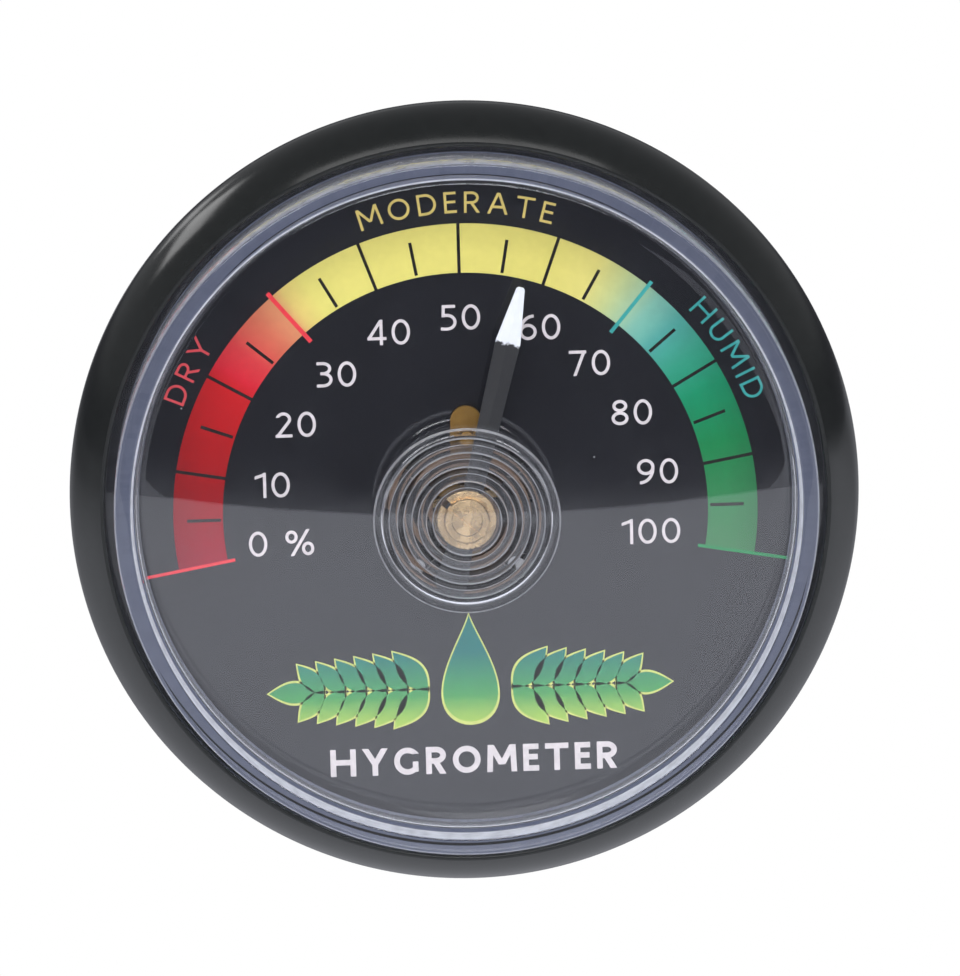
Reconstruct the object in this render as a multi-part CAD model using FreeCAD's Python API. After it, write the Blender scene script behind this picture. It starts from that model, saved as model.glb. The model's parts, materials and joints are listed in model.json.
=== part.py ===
"""Wall-mounted dial hygrometer, 75 mm across, in separate pieces.

The dial faces -Y and +Z is up. The origin is on the case's axis, in the plane of the adhesive ring's back,
which is the plane of the wall or glass that the hygrometer is stuck to. Heights (h) are measured forward
from that plane, so a point at height h is at y = -h. Everything is in millimetres, and angles are in
degrees clockwise as seen from the front.

Front to back: a clear moulded lens with a ringed boss over the pivot, a pointer, a flat spiral of
moisture-sensitive strip, a printed dial film on its plate, and a vented back cover. The spiral hangs between
a hub on the pointer's arbor and a post on a brass bar. The bar is staked to a slotted stud, which a
screwdriver turns from behind to calibrate the reading.
"""

import FreeCAD, Part
import math
import os

# Case
CASE_R = 37.5                 # widest radius, near the back of the bezel
PIVOT_Z = -1.4                # the pointer's axis lies a little below the case's axis
BACK_H = 1.6                  # back face of the case, in front of the wall
RIM_FOOT_H = 3.6              # the bezel's flank starts here
RIM_BULGE = 0.55              # how far the flank bows out from straight
LIP_R = 34.0                  # front opening of the bezel
LIP_H = 8.95                  # front edge of the bezel
LIP_WIDTH = 0.5
BORE_R = 35.1                 # inside of the bezel behind the lip
EDGE = 0.4                    # rounding of the bezel's back edge
SNAP_H = 2.2                  # snap bead that holds the back cover
SNAP_DEPTH = 0.3

# Lens
LENS_R = 33.15
LENS_INNER_R = 31.3
FLANGE_R = 34.9
FLANGE_FRONT_H = 6.4          # the bezel's lip bears on the lens flange here
LENS_FRONT_H = 12.5           # top of the raised border
BORDER_R = 31.4               # inner edge of the raised border
FACE_EDGE_H = 10.4
FACE_DOME = 0.3
FACE_T = 1.25
BOSS_R = 8.85
BOSS_Z = -1.2                 # the boss's axis lies a little above the pointer's
BOSS_H = 11.0
BOSS_EDGE = 0.2
RIDGES = 4                    # low flat-topped rings on the boss
RIDGE_R = 7.99                # outside of the largest one
RIDGE_PITCH = 1.37
RIDGE_W = 0.68
RIDGE_RISE = 0.22
RIDGE_EDGE = 0.12
GATE_R = 1.45                 # shallow round moulding mark at the boss's centre
GATE_DEPTH = 0.12
POCKET_R = 8.0                # hollow behind the boss that clears the pointer screw
POCKET_H = 9.95

# Dial
DIAL_H = 5.1                  # front of the printed film
FILM_T = 0.15
PLATE_T = 0.7
DIAL_R = 34.9
PLATE_BACK_H = DIAL_H - FILM_T - PLATE_T
AIR_HOLES = 4                 # they let the air from behind reach the coil
AIR_HOLE_R = 1.2
AIR_HOLE_CIRCLE_R = 6.2

# Back cover
COVER_T = 1.2
COVER_R = 34.95
COVER_FRONT_H = BACK_H + COVER_T
PRESS_RING = (33.3, 34.6)     # inner and outer radius of the ring that presses on the dial plate
ACCESS_R = 3.2                # screwdriver hole over the calibration stud
VENTS = 16
VENT_ENDS_R = (8.5, 19.0)
VENT_W = 1.6
KEY_W = 2.0                   # key on the cover and notch in the dial at six o'clock
KEY_R = 34.0
MARK_X = 5.6                  # moulded plus and minus, this far beside the access hole
MARK_W = 0.5
MARK_RISE = 0.25

# Adhesive ring
PAD_R = (22.0, 30.0)
PAD_GAP = 15.0                # gap at the bottom that lets air reach the vents

# Movement
RUNNING = 0.05                # clearance on the radius of turning fits
STUD_R = 2.5
STUD_TIP_R = 2.2
STUD_BACK_H = 2.0
STUD_TIP_H = 3.2
STUD_SLOT = (0.8, 0.7)        # width and depth
STUD_FLANGE_R = 3.2
STUD_FLANGE_T = 0.4
NECK_R = 1.8                  # the bar is staked on this
CLIP_H = (PLATE_BACK_H - 0.75, PLATE_BACK_H - 0.35)
CLIP_GROOVE = 0.5
CLIP_R = 3.5
WASHER_R = 4.3
WASHER_T = 0.15
BAR_DEG = 1.5                 # where the calibration has left the bar
BAR_H = DIAL_H + STUD_FLANGE_T
BAR_T = 0.5
BAR_W = 2.95
BAR_TOP = 10.4                # rounded end above the pivot
BAR_TAIL = 4.6
RIVET_R = 0.5
POST_R = 0.65
PIN_R = 0.2
PIN_PROUD = 0.2
COIL_H = 6.35
COIL_W = 1.6                  # width of the strip, along the axis
COIL_T = 0.18
COIL_PITCH = 0.8
COIL_HALF_TURNS = 13
COIL_END_R = 7.6              # where the strip passes the post
COIL_TAIL = 1.3               # free end beyond the post
HUB_R = 1.8
HUB_BACK_H = 6.25
HUB_SLOT_W = 0.4
HUB_SLOT_FLOOR = 0.8          # the slot stops this far from the axis
ARBOR_R = 0.6
ARBOR_H = (3.4, 7.0)
BORE_FLOOR_H = 3.3

# Pointer, measured from the pivot along its length
POINTER_DEG = 14.5            # reads 57 percent
POINTER_H = 8.35
POINTER_T = 0.32              # thickness at the central crease
CREASE = 0.136                # fall from the crease, per millimetre sideways
TIP_R = 22.7
TIP_W = 0.75
SHOULDER_R = 17.4
SHOULDER_W = 2.35
ARM_R = 4.0
ARM_W = 1.9
EYE_R = 2.3
TAIL_R = 7.2
TAIL_W = 3.0
TAIL_FLARE = 1.5
COLLAR_H = POINTER_H + POINTER_T
COLLAR_R = 2.85
COLLAR_T = 0.4
NOTCH = (0.7, 0.8)            # width and depth
HEAD_H = COLLAR_H + COLLAR_T
HEAD_R = 2.15
HEAD_T = 0.65
HEAD_SLOT = (0.42, 0.35)      # width and depth
SCREW_R = 0.7
SCREW_END_H = 7.2
SLOT_DEG = -50.0              # direction of the screw slot and the collar's notch

V = FreeCAD.Vector
FORWARD = V(0, -1, 0)
PIVOT = V(0, 0, PIVOT_Z)
BEYOND = 20.0                 # more than any cut has to reach


def point(x, h, z):
    return V(x, -h, z)


def rounded_wire(corners, place):
    """Closed wire through corners (a, b, fillet radius). place turns (a, b) into a point in space."""
    flat = [V(a, b, 0) for a, b, _ in corners]
    arcs = []
    for i, here in enumerate(flat):
        before = (flat[i - 1] - here).normalize()
        after = (flat[(i + 1) % len(flat)] - here).normalize()
        radius = corners[i][2]
        half = before.getAngle(after) / 2
        inward = (before + after).normalize() if radius else V(0, 0, 0)
        run = radius / math.tan(half)
        middle = here + inward * (radius / math.sin(half) - radius)
        arcs.append((here + before * run, middle, here + after * run))
    edges = []
    for i, (start, middle, end) in enumerate(arcs):
        leaving = arcs[i - 1][2]
        if (start - leaving).Length > 1e-6:
            edges.append(Part.LineSegment(place(leaving), place(start)).toShape())
        if (end - start).Length > 1e-6:
            edges.append(Part.Arc(place(start), place(middle), place(end)).toShape())
    return Part.Wire(Part.__sortEdges__(edges))


def turned(corners, axis_z=0.0):
    """Solid of revolution about the axis at height axis_z, from corners (radius, h, fillet radius)."""
    wire = rounded_wire(corners, lambda p: point(p.x, p.y, axis_z))
    return Part.Face(wire).revolve(V(0, 0, axis_z), V(0, 1, 0), 360)


def plain(*pairs):
    """Corners with no rounding."""
    return [(a, b, 0) for a, b in pairs]


def disc(radius, low, high, x=0.0, z=0.0):
    return Part.makeCylinder(radius, high - low, point(x, low, z), FORWARD)


def ring(inner, outer, low, high, z=0.0):
    return disc(outer, low, high, z=z).cut(disc(inner, low - 1, high + 1, z=z))


def block(width, low, high, z_low, z_high, x=0.0):
    return Part.makeBox(width, high - low, z_high - z_low, point(x - width / 2, high, z_low))


def spun(shape, degrees, centre=PIVOT):
    """The shape turned clockwise about an axis through the centre."""
    result = shape.copy()
    result.rotate(centre, V(0, 1, 0), degrees)
    return result


def slab(corners, low, high):
    """Flat piece between two heights, with an outline of (x, z above the pivot, fillet radius)."""
    wire = rounded_wire(corners, lambda p: point(p.x, low, p.y + PIVOT_Z))
    return Part.Face(wire).extrude(FORWARD * (high - low))


def bezel_ring():
    """Black conical ring. Its lip holds the lens flange, and the back cover snaps in behind."""
    body = turned(
        [
            (CASE_R, BACK_H, EDGE),
            (CASE_R, RIM_FOOT_H, 0),
            (LIP_R + LIP_WIDTH, LIP_H, 0),
            (LIP_R, LIP_H, 0.15),
            (LIP_R, FLANGE_FRONT_H, 0),
            (BORE_R, FLANGE_FRONT_H, 0),
            (BORE_R, SNAP_H + SNAP_DEPTH, 0),
            (BORE_R - SNAP_DEPTH, SNAP_H, 0),
            (BORE_R, SNAP_H - SNAP_DEPTH, 0),
            (BORE_R, BACK_H, 0),
        ]
    )
    foot = point(CASE_R, RIM_FOOT_H, 0)
    top = point(LIP_R + LIP_WIDTH, LIP_H, 0)
    along = top - foot
    outward = V(-along.y, along.x, 0).normalize()
    bulge = (foot + top) * 0.5 + outward * RIM_BULGE
    bow = Part.Wire([Part.Arc(foot, bulge, top).toShape(), Part.LineSegment(top, foot).toShape()])
    return body.fuse(Part.Face(bow).revolve(V(0, 0, 0), V(0, 1, 0), 360)).removeSplitter()


def dome(edge_h):
    """Everything behind a shallow dome that is edge_h high at the border."""
    sphere_r = (BORDER_R**2 + FACE_DOME**2) / (2 * FACE_DOME)
    ball = Part.makeSphere(sphere_r, point(0, edge_h + FACE_DOME - sphere_r, 0))
    return ball.common(disc(BORDER_R + 1, DIAL_H, LENS_FRONT_H + 1))


def front_lens():
    """Clear moulded cup: flange, side wall with a raised border, domed face and ringed boss."""
    step_r = BORDER_R - 0.2
    wall = turned(
        [
            (LENS_INNER_R, DIAL_H, 0),
            (FLANGE_R, DIAL_H, 0),
            (FLANGE_R, FLANGE_FRONT_H, 0),
            (LENS_R, FLANGE_FRONT_H, 0),
            (LENS_R, LENS_FRONT_H, 0.45),
            (BORDER_R, LENS_FRONT_H, 0.35),
            (step_r, FACE_EDGE_H - 0.1, 0),
            (step_r, FACE_EDGE_H - 0.6, 0),
            (LENS_INNER_R, FACE_EDGE_H - 0.7, 0),
        ]
    )
    face = dome(FACE_EDGE_H).cut(dome(FACE_EDGE_H - FACE_T))
    face = face.common(disc(BORDER_R - 0.1, DIAL_H, LENS_FRONT_H))
    foot = FACE_EDGE_H - FACE_T / 2
    boss = turned([(0, foot, 0), (BOSS_R, foot, 0), (BOSS_R, BOSS_H, BOSS_EDGE), (0, BOSS_H, 0)], BOSS_Z)
    lens = wall.fuse([face, boss])
    for i in range(RIDGES):
        outer = RIDGE_R - i * RIDGE_PITCH
        inner = outer - RIDGE_W
        top = BOSS_H + RIDGE_RISE
        lens = lens.fuse(
            turned(
                [
                    (inner, BOSS_H - 0.1, 0),
                    (outer, BOSS_H - 0.1, 0),
                    (outer, top, RIDGE_EDGE),
                    (inner, top, RIDGE_EDGE),
                ],
                BOSS_Z,
            )
        )
    pocket = disc(POCKET_R, DIAL_H, POCKET_H, z=BOSS_Z)
    gate = disc(GATE_R, BOSS_H - GATE_DEPTH, LENS_FRONT_H, z=BOSS_Z)
    return lens.cut([pocket, gate]).removeSplitter()


def with_dial_holes(shape):
    """The disc with the key's notch, the calibration stud's hole and the air holes under the boss."""
    notch = block(KEY_W + 0.3, 0, LENS_FRONT_H, -DIAL_R - 1, -KEY_R + 0.15)
    cuts = [notch, disc(STUD_R + RUNNING, 0, LENS_FRONT_H, z=PIVOT_Z)]
    for i in range(AIR_HOLES):
        hole = disc(AIR_HOLE_R, 0, LENS_FRONT_H, z=PIVOT_Z + AIR_HOLE_CIRCLE_R)
        cuts.append(spun(hole, (i + 0.5) * 360 / AIR_HOLES))
    return shape.cut(cuts)


def dial_film():
    """Printed glossy film. The print itself has no thickness here."""
    return with_dial_holes(disc(DIAL_R, DIAL_H - FILM_T, DIAL_H))


def dial_plate():
    """Flat plate that stiffens the film."""
    return with_dial_holes(disc(DIAL_R, PLATE_BACK_H, DIAL_H - FILM_T))


def back_cover():
    """Vented snap-in disc with a ring that presses the dial plate against the lens."""
    cover = turned(
        plain(
            (0, BACK_H),
            (COVER_R, BACK_H),
            (COVER_R, SNAP_H - SNAP_DEPTH - 0.05),
            (COVER_R - SNAP_DEPTH, SNAP_H),
            (COVER_R, SNAP_H + SNAP_DEPTH + 0.05),
            (COVER_R, COVER_FRONT_H),
            (0, COVER_FRONT_H),
        )
    )
    root = COVER_FRONT_H - 0.2
    press = ring(*PRESS_RING, root, PLATE_BACK_H)
    key = block(KEY_W, root, DIAL_H - FILM_T, -PRESS_RING[1], -KEY_R)
    collar = ring(ACCESS_R, ACCESS_R + 1.2, root, COVER_FRONT_H + 0.4, z=PIVOT_Z)
    cover = cover.fuse([press, key, collar])
    cuts = [disc(ACCESS_R, 0, COVER_FRONT_H + 1, z=PIVOT_Z)]
    for i in range(VENTS):
        slot = block(VENT_W, 0, COVER_FRONT_H + 1, *VENT_ENDS_R)
        ends = [disc(VENT_W / 2, 0, COVER_FRONT_H + 1, z=end) for end in VENT_ENDS_R]
        cuts.append(spun(slot.fuse(ends), (i + 0.5) * 360 / VENTS, V(0, 0, 0)))
    return cover.cut(cuts).fuse(calibration_marks()).removeSplitter()


def calibration_marks():
    """Raised minus and plus beside the access hole: the ways to turn for a lower or a higher reading."""
    low, high = BACK_H - MARK_RISE, BACK_H + 0.1
    half, long_half = MARK_W / 2, 0.9
    bars = [
        block(2 * long_half, low, high, PIVOT_Z - half, PIVOT_Z + half, x)
        for x in (-MARK_X, MARK_X)
    ]
    return bars + [block(MARK_W, low, high, PIVOT_Z - long_half, PIVOT_Z + long_half, -MARK_X)]


def adhesive_ring():
    """Ring of double-sided foam tape, open at the bottom."""
    gap = block(PAD_GAP, -1, BACK_H + 1, -PAD_R[1] - 1, -PAD_R[0] / 2)
    return ring(*PAD_R, 0, BACK_H).cut(gap)


def calibration_stud():
    """Brass stud: screwdriver slot behind, journal in the dial, flange in front, bore for the arbor."""
    front = BAR_H + BAR_T
    stud = turned(
        plain(
            (0, STUD_BACK_H),
            (STUD_TIP_R, STUD_BACK_H),
            (STUD_TIP_R, STUD_TIP_H),
            (STUD_R, STUD_TIP_H),
            (STUD_R, CLIP_H[0]),
            (STUD_R - CLIP_GROOVE, CLIP_H[0]),
            (STUD_R - CLIP_GROOVE, CLIP_H[1]),
            (STUD_R, CLIP_H[1]),
            (STUD_R, DIAL_H),
            (STUD_FLANGE_R, DIAL_H),
            (STUD_FLANGE_R, BAR_H),
            (NECK_R, BAR_H),
            (NECK_R, front),
            (0, front),
        ),
        PIVOT_Z,
    )
    width, depth = STUD_SLOT
    slot = block(width, 0, STUD_BACK_H + depth, PIVOT_Z - BEYOND, PIVOT_Z + BEYOND)
    bore = disc(ARBOR_R + RUNNING, BORE_FLOOR_H, front + 1, z=PIVOT_Z)
    return spun(stud.cut([slot, bore]), BAR_DEG)


def friction_washer():
    """Dished spring washer between the dial plate and the clip. It holds the calibration."""
    inner_r = STUD_R + 0.1
    return turned(
        plain(
            (inner_r, CLIP_H[1]),
            (WASHER_R, PLATE_BACK_H - WASHER_T),
            (WASHER_R, PLATE_BACK_H),
            (inner_r, CLIP_H[1] + WASHER_T),
        ),
        PIVOT_Z,
    )


def retaining_clip():
    """Open spring clip in the stud's groove, with two holes for pliers."""
    back, front = CLIP_H
    clip = ring(STUD_R - CLIP_GROOVE, CLIP_R, back, front, z=PIVOT_Z)
    mouth = block(2 * (STUD_R - CLIP_GROOVE) - 0.6, back - 1, front + 1, PIVOT_Z - BEYOND, PIVOT_Z)
    eye_r = (STUD_R + CLIP_R) / 2 - 0.1
    eyes = [
        spun(disc(0.3, back - 1, front + 1, z=PIVOT_Z - eye_r), side * 48)
        for side in (-1, 1)
    ]
    return spun(clip.cut([mouth] + eyes), BAR_DEG)


def movement_bar():
    """Brass bar staked on the stud. Its rounded end shows at twelve o'clock beside the ringed boss."""
    half = BAR_W / 2
    end = half - 0.01
    front = BAR_H + BAR_T
    outline = [(-half, BAR_TOP, end), (half, BAR_TOP, end), (half, -BAR_TAIL, end), (-half, -BAR_TAIL, end)]
    bar = slab(outline, BAR_H, front).fuse(disc(STUD_FLANGE_R - 0.2, BAR_H, front, z=PIVOT_Z))
    holes = [
        disc(NECK_R, BAR_H - 1, front + 1, z=PIVOT_Z),
        disc(RIVET_R, BAR_H - 1, front + 1, z=PIVOT_Z + COIL_END_R),
    ]
    return spun(bar.cut(holes).removeSplitter(), BAR_DEG)


def pin_at_post(radius):
    """Rod across the coil post, flush with its inner side and proud of its outer side."""
    start = point(0, COIL_H + COIL_W / 2, PIVOT_Z + COIL_END_R - POST_R)
    return Part.makeCylinder(radius, 2 * POST_R + PIN_PROUD, start, V(0, 0, 1))


def coil_post():
    """Slotted brass post that grips the coil's outer end, riveted into the bar."""
    z = PIVOT_Z + COIL_END_R
    top = COIL_H + COIL_W + 0.1
    post = disc(POST_R, BAR_H + BAR_T, top, z=z).fuse(disc(RIVET_R, BAR_H, BAR_H + BAR_T, z=z))
    slot_half = COIL_T / 2 + 0.05
    slot = block(BEYOND, COIL_H - 0.05, top + 1, z - slot_half, z + slot_half)
    return spun(post.cut([slot, pin_at_post(PIN_R)]), BAR_DEG)


def coil_end_pin():
    """Cross pin that locks the strip in the post."""
    return spun(pin_at_post(PIN_R), BAR_DEG)


def humidity_coil():
    """Flat spiral of moisture-sensitive strip, as half circles about two centres."""
    front = COIL_H + COIL_W
    shift = COIL_PITCH / 4
    half_t = COIL_T / 2
    pieces = []
    for i in range(COIL_HALF_TURNS):
        radius = COIL_END_R - shift - i * COIL_PITCH / 2
        side = 1 if i % 2 == 0 else -1
        z = PIVOT_Z + side * shift
        band = ring(radius - half_t, radius + half_t, COIL_H, front, z=z)
        left_or_right = block(BEYOND, COIL_H, front, z - BEYOND, z + BEYOND, x=-side * BEYOND / 2)
        pieces.append(band.common(left_or_right))
    end_z = PIVOT_Z + COIL_END_R
    tail = block(COIL_TAIL, COIL_H, front, end_z - half_t, end_z + half_t, x=COIL_TAIL / 2)
    inner_z = PIVOT_Z + shift - (COIL_END_R - shift - (COIL_HALF_TURNS - 1) * COIL_PITCH / 2)
    tongue = block(COIL_T, COIL_H, front, inner_z - half_t, PIVOT_Z - HUB_SLOT_FLOOR - 0.1)
    coil = tail.fuse(pieces + [tongue]).removeSplitter()
    return spun(coil.cut(pin_at_post(PIN_R + 0.03)), BAR_DEG)


def coil_hub():
    """Brass hub on the arbor, with a slot for the coil's inner end. The pointer sits on its front face."""
    hub = disc(HUB_R, HUB_BACK_H, POINTER_H, z=PIVOT_Z)
    slot_front = COIL_H + COIL_W + 0.1
    slot = block(HUB_SLOT_W, 0, slot_front, PIVOT_Z - BEYOND, PIVOT_Z - HUB_SLOT_FLOOR)
    arbor_hole = disc(ARBOR_R, 0, ARBOR_H[1], z=PIVOT_Z)
    screw_hole = disc(SCREW_R, SCREW_END_H - 0.1, LENS_FRONT_H, z=PIVOT_Z)
    return spun(hub.cut([slot, arbor_hole, screw_hole]), BAR_DEG)


def arbor():
    """Steel pivot pin, pressed in the hub and running in the stud."""
    back, front = ARBOR_H
    return turned([(0, back, 0), (ARBOR_R, back, 0.2), (ARBOR_R, front, 0), (0, front, 0)], PIVOT_Z)


def pointer():
    """Sheet pointer with a central crease, a tapered tip and a flared tail."""
    right = [
        (TIP_W / 2, TIP_R, 0.3),
        (SHOULDER_W / 2, SHOULDER_R, 0.6),
        (ARM_W / 2, ARM_R, 1.0),
        (ARM_W / 2, 0, 0),
        (TAIL_W / 2, -TAIL_R + TAIL_FLARE, 1.0),
        (TAIL_W / 2, -TAIL_R, 0.7),
    ]
    left = [(-x, z, radius) for x, z, radius in reversed(right)]
    front = POINTER_H + POINTER_T
    blank = slab(right + left, POINTER_H, front)
    start_z = PIVOT_Z - TAIL_R - 1
    edge_h = front - CREASE * TAIL_W / 2
    section = [
        point(-TAIL_W / 2, POINTER_H, start_z),
        point(TAIL_W / 2, POINTER_H, start_z),
        point(TAIL_W / 2, edge_h, start_z),
        point(0, front, start_z),
        point(-TAIL_W / 2, edge_h, start_z),
    ]
    roof = Part.Face(Part.makePolygon(section + section[:1])).extrude(V(0, 0, TIP_R + TAIL_R + 2))
    eye = disc(EYE_R, POINTER_H, front, z=PIVOT_Z)
    hole = disc(SCREW_R, POINTER_H - 1, front + 1, z=PIVOT_Z)
    return spun(blank.common(roof).fuse(eye).cut(hole).removeSplitter(), POINTER_DEG)


def pointer_collar():
    """Brass washer over the pointer, with a notch that a setting tool grips."""
    washer = turned(
        [(SCREW_R, COLLAR_H, 0), (COLLAR_R, COLLAR_H, 0), (COLLAR_R, HEAD_H, 0.15), (SCREW_R, HEAD_H, 0)],
        PIVOT_Z,
    )
    width, depth = NOTCH
    inner_z = PIVOT_Z + COLLAR_R - depth
    notch = block(width, COLLAR_H - 1, HEAD_H + 1, inner_z, inner_z + BEYOND)
    return washer.cut(spun(notch, SLOT_DEG))


def pointer_screw():
    """Slotted brass screw that clamps the pointer to the hub."""
    top = HEAD_H + HEAD_T
    screw = turned(
        [
            (0, SCREW_END_H, 0),
            (SCREW_R, SCREW_END_H, 0),
            (SCREW_R, HEAD_H, 0),
            (HEAD_R, HEAD_H, 0),
            (HEAD_R, top, 0.2),
            (0, top, 0),
        ],
        PIVOT_Z,
    )
    width, depth = HEAD_SLOT
    slot = block(width, top - depth, top + 1, PIVOT_Z - BEYOND, PIVOT_Z + BEYOND)
    return screw.cut(spun(slot, SLOT_DEG))


PIECES = [
    bezel_ring,
    front_lens,
    dial_film,
    dial_plate,
    back_cover,
    adhesive_ring,
    calibration_stud,
    friction_washer,
    retaining_clip,
    movement_bar,
    coil_post,
    coil_end_pin,
    humidity_coil,
    arbor,
    coil_hub,
    pointer,
    pointer_collar,
    pointer_screw,
]

os.makedirs("parts", exist_ok=True)
for make in PIECES:
    name = make.__name__
    solids = make().Solids
    solids[0].exportStep(f"parts/{name}.step")
    print(f"{name}: {len(solids)} solid, valid {solids[0].isValid()}, {solids[0].Volume:.2f} mm3")
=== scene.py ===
"""Looks of the wall-mounted dial hygrometer: materials, lens, bezel, coil, print, studio and camera.

Lengths written in millimetres carry MM. The dial faces -Y and +Z is up. A dial angle is in degrees,
clockwise from twelve o'clock, and a height h is measured forward from the wall, so it is at y = -h.
"""

import bmesh
import bpy
import json
import math
from mathutils import Matrix, Vector
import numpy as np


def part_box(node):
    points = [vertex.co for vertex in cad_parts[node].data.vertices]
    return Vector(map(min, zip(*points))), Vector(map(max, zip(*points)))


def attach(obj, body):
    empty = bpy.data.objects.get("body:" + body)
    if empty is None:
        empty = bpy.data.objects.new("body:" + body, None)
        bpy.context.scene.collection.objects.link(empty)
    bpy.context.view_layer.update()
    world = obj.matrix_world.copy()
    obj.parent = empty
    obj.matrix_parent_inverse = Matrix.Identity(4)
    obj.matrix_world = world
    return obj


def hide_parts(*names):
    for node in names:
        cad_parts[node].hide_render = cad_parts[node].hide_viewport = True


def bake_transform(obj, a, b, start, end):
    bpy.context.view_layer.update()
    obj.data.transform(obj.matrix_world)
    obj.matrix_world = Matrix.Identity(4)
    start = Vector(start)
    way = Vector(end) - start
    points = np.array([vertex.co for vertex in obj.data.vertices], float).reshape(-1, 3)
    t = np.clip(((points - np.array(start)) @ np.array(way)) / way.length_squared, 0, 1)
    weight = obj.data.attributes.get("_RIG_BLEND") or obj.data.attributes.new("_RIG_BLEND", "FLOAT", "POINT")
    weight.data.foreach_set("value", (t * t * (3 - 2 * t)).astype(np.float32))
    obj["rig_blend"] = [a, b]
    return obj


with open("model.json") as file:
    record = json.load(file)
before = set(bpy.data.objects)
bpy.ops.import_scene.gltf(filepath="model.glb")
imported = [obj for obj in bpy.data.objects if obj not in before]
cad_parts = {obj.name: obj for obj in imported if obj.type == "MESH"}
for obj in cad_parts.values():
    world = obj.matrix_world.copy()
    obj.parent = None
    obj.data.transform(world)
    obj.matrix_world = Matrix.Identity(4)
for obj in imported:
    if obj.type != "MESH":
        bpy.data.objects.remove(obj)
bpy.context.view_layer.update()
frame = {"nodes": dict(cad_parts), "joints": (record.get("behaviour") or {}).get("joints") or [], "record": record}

MM = 0.001
NODES = frame["nodes"]
PIVOT_Z = next(j for j in frame["joints"] if j["name"] == "pointer_sweep")["pos_m"][2]

# ---------------------------------------------------------------------------------------------------------
# Driving sizes of the print
# ---------------------------------------------------------------------------------------------------------
SCALE_HALF_SWEEP = 100.0            # 0 percent at -100 degrees, 100 percent at +100
BAND_R = (23.0 * MM, 27.7 * MM)
MINOR_R = (23.2 * MM, 26.4 * MM)
ZONE_R = (22.0 * MM, 28.2 * MM)
END_R = (22.3 * MM, 31.2 * MM)
PAINTED_GLOW_R = 31.35 * MM           # from here out to the lens's edge the film is painted pale: painted light standing for the glow the clear lens wall carries down
PAINTED_GLOW_SOFT = 0.03 * MM
LENS_R = 33.15 * MM
PRINT_T = 0.008 * MM                # each ink layer stands this much prouder than the one below
TICK_W = 0.31 * MM


def front_of(node):
    """Height of the node's foremost point in front of the wall."""
    return -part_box(node)[0].y


FILM_H = front_of("dial_film")


def on_dial(radius, degrees, h=FILM_H):
    """A point at a dial angle and a distance from the pivot."""
    a = math.radians(degrees)
    return Vector((radius * math.sin(a), -h, PIVOT_Z + radius * math.cos(a)))


def percent_angle(percent):
    return (percent / 50.0 - 1.0) * SCALE_HALF_SWEEP


# ---------------------------------------------------------------------------------------------------------
# Node building
# ---------------------------------------------------------------------------------------------------------
class Shader:
    """A material or world node tree with short calls. A value may be a number, a colour or a socket."""

    def __init__(self, tree):
        self.tree = tree
        tree.nodes.clear()

    def set(self, socket, value):
        if isinstance(value, bpy.types.NodeSocket):
            self.tree.links.new(value, socket)
        elif isinstance(value, (tuple, list)) and len(value) == 3 and len(socket.default_value) == 4:
            socket.default_value = (*value, 1.0)
        else:
            socket.default_value = value

    def node(self, kind, settings=None, **inputs):
        made = self.tree.nodes.new(kind)
        for key, value in (settings or {}).items():
            setattr(made, key, value)
        for key, value in inputs.items():
            self.set(made.inputs[key.replace("_", " ")], value)
        return made

    def place(self):
        """Object coordinates, which are the part's own, in metres."""
        return self.node("ShaderNodeTexCoord").outputs["Object"]

    def split(self, vector):
        return self.node("ShaderNodeSeparateXYZ", Vector=vector).outputs

    def math(self, operation, a, b=0.0):
        made = self.node("ShaderNodeMath", {"operation": operation})
        for socket, value in zip(made.inputs, (a, b)):
            self.set(socket, value)
        return made.outputs[0]

    def length(self, a, b):
        """Distance from the origin of a point with these two coordinates."""
        squares = [self.math("MULTIPLY", value, value) for value in (a, b)]
        return self.math("SQRT", self.math("ADD", *squares))

    def steps(self, value, low, high, to_low=0.0, to_high=1.0):
        """value mapped from one range to another, clamped."""
        made = self.node("ShaderNodeMapRange", Value=value)
        for socket, number in zip(made.inputs[1:5], (low, high, to_low, to_high)):
            self.set(socket, number)
        return made.outputs[0]

    def noise(self, scale, detail=3.0, roughness=0.5, vector=None):
        vector = self.place() if vector is None else vector
        made = self.node("ShaderNodeTexNoise", Vector=vector, Scale=scale, Detail=detail, Roughness=roughness)
        return made.outputs["Fac"]

    def mix(self, share, a, b):
        made = self.node("ShaderNodeMix", {"data_type": "RGBA"})
        for socket, value in zip((made.inputs[0], made.inputs[6], made.inputs[7]), (share, a, b)):
            self.set(socket, value)
        return made.outputs[2]

    def ramp(self, value, stops):
        """Colour blended between (position, colour) stops."""
        made = self.node("ShaderNodeValToRGB", Fac=value)
        elements = made.color_ramp.elements
        while len(elements) < len(stops):
            elements.new(0.5)
        for element, (position, colour) in zip(elements, stops):
            element.position = position
            element.color = (*colour, 1.0)
        return made.outputs["Color"]

    def bump(self, height, distance, strength=1.0):
        return self.node(
            "ShaderNodeBump", Height=height, Distance=distance, Strength=strength
        ).outputs["Normal"]

    def dial_polar(self):
        """(distance from the pivot in metres, dial angle in degrees) as sockets."""
        x, _, z = self.split(self.place())
        up = self.math("SUBTRACT", z, PIVOT_Z)
        radius = self.length(x, up)
        return radius, self.math("DEGREES", self.math("ARCTAN2", x, up))

    def finish(self, surface):
        out = self.node("ShaderNodeOutputMaterial")
        self.tree.links.new(surface, out.inputs["Surface"])


def linear(*srgb):
    """Linear colour from three screen values of 0 to 255."""
    return tuple(
        c / 12.92 if c <= 0.04045 else ((c + 0.055) / 1.055) ** 2.4 for c in (v / 255.0 for v in srgb)
    )


def new_material(name):
    material = bpy.data.materials.new(name)
    material.use_nodes = True
    return material, Shader(material.node_tree)


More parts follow.
